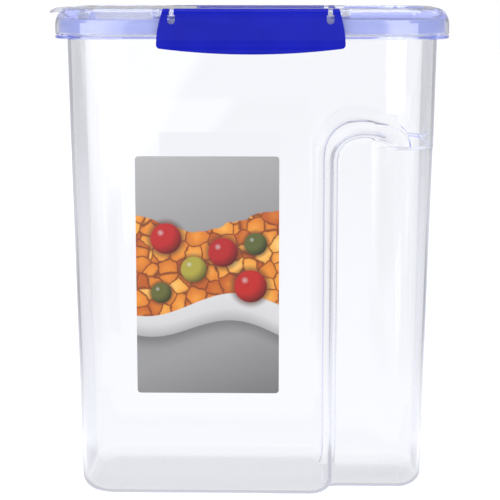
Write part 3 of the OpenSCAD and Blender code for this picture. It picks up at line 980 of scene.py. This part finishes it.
def window_glow(tree, parts):
    """Extra level on the floor before the left window."""
    ahead = step_up(tree, minus(tree, parts["Y"]), GLOW_NEAR, -WINDOW_Y)
    left = step_up(tree, minus(tree, parts["X"]), GLOW_X - GLOW_BLUR, GLOW_X + GLOW_BLUR)
    return calc(tree, "MULTIPLY", calc(tree, "MULTIPLY", ahead, left), GLOW)


def room_floor(tree, place):
    """Level of the mirrored floor at a place on it: painted light and shade, with a painted
    contact shadow round the footprint.
    """
    parts = split(tree, place)
    x, y = calc(tree, "ABSOLUTE", parts["X"]), calc(tree, "ABSOLUTE", parts["Y"])
    off_strip = step_up(tree, calc(tree, "MINIMUM", x, y), STRIP, STRIP_END)
    far = step_up(tree, calc(tree, "MAXIMUM", x, y), 0.0, FAR, False)
    behind = step_up(tree, parts["Y"], BEHIND_FROM, BEHIND_TO)
    beside = step_up(tree, x, SIDE_FROM, SIDE_TO), step_up(tree, y, SIDE_TO, 2 * SIDE_TO)
    side = calc(tree, "MAXIMUM", calc(tree, "SUBTRACT", *beside), 0.0)
    level = between(tree, far, NEAR_LEVEL, FAR_LEVEL)
    for part, low in ((off_strip, DARK_CORNER), (behind, BEHIND_LEVEL), (side, SIDE_LEVEL)):
        level = calc(tree, "MULTIPLY", level, between(tree, part, 1.0, low))
    level = calc(tree, "ADD", level, window_glow(tree, parts))
    # Painted contact shadow: the floor darkens towards the object's footprint
    near = step_up(tree, from_footprint(tree, x, y), 0.0, CONTACT)
    return calc(tree, "MULTIPLY", level, between(tree, near, PAINTED_CONTACT_SHADE, 1.0))


def by_ray(tree, matt, seen, through, mirrored):
    """One shader for what the camera sees, one through plastic, one in reflections, one else."""
    path = tree.nodes.new("ShaderNodeLightPath")
    shader = switch(tree, path.outputs["Is Camera Ray"], matt, seen)
    shader = switch(tree, path.outputs["Is Transmission Ray"], shader, through)
    return switch(tree, mirrored_depth(tree, path), shader, mirrored)


def build_world():
    world = bpy.data.worlds.new("studio")
    bpy.context.scene.world = world
    world.use_nodes = True
    tree = world.node_tree
    tree.nodes.clear()
    out = tree.nodes.new("ShaderNodeOutputWorld")
    fill = add(tree, "ShaderNodeBackground", Color=WHITE, Strength=FILL)
    seen = add(tree, "ShaderNodeBackground", Color=WHITE, Strength=SEEN)
    behind = add(tree, "ShaderNodeBackground", Color=WHITE)
    room = add(tree, "ShaderNodeBackground", Color=(*ROOM_COLOUR, 1))
    direction = tree.nodes.new("ShaderNodeTexCoord").outputs["Generated"]
    overhead = ceiling(tree, direction)
    walls = calc(tree, "MULTIPLY", room_light(tree, direction), overhead)
    tree.links.new(overhead, behind.inputs["Strength"])
    tree.links.new(walls, room.inputs["Strength"])
    shaders = [node.outputs[0] for node in (fill, seen, behind, room)]
    tree.links.new(by_ray(tree, *shaders), out.inputs["Surface"])


def floor_material():
    material, tree, out = new_material("floor_white")
    place = object_place(tree)
    paper = add(tree, "ShaderNodeBsdfDiffuse", Color=PAPER)
    glow = add(tree, "ShaderNodeEmission", Color=WHITE, Strength=PAPER_GLOW)
    under = add(tree, "ShaderNodeEmission", Color=WHITE)
    room = add(tree, "ShaderNodeEmission", Color=(*ROOM_COLOUR, 1))
    lit = tree.nodes.new("ShaderNodeAddShader")
    tree.links.new(paper.outputs[0], lit.inputs[0])
    tree.links.new(glow.outputs[0], lit.inputs[1])
    # The floor seen through the plastic, with its painted shade under the object
    tree.links.new(under_object(tree, place), under.inputs["Strength"])
    tree.links.new(room_floor(tree, place), room.inputs["Strength"])
    shaders = [node.outputs[0] for node in (paper, lit, under, room)]
    tree.links.new(by_ray(tree, *shaders), out.inputs["Surface"])
    return material


def build_floor():
    mesh = bpy.data.meshes.new("floor")
    corners = ((-1, -1), (1, -1), (1, 1), (-1, 1))
    mesh.from_pydata(
        [(x * FLOOR_HALF, y * FLOOR_HALF, -FLOOR_DROP) for x, y in corners], [], [(0, 1, 2, 3)],
    )
    floor = put("floor", mesh)
    mesh.materials.append(floor_material())


def build_studio():
    build_camera()
    build_world()
    build_floor()
    for row in WINDOWS:
        window(*row)
    for name, place, height, size, power, mirrored in SOFT_BOXES:
        area_light(name, place, (0, 0, height), size, power, mirrored)
    bpy.context.scene.view_settings.view_transform = "Standard"
    cycles = bpy.context.scene.cycles
    cycles.max_bounces = LIGHT_BOUNCES
    cycles.transmission_bounces = LIGHT_BOUNCES
    cycles.glossy_bounces = LIGHT_BOUNCES


build_studio()
build_container()
for node_name, node_material in DRESSED:
    dress(node_name, node_material)
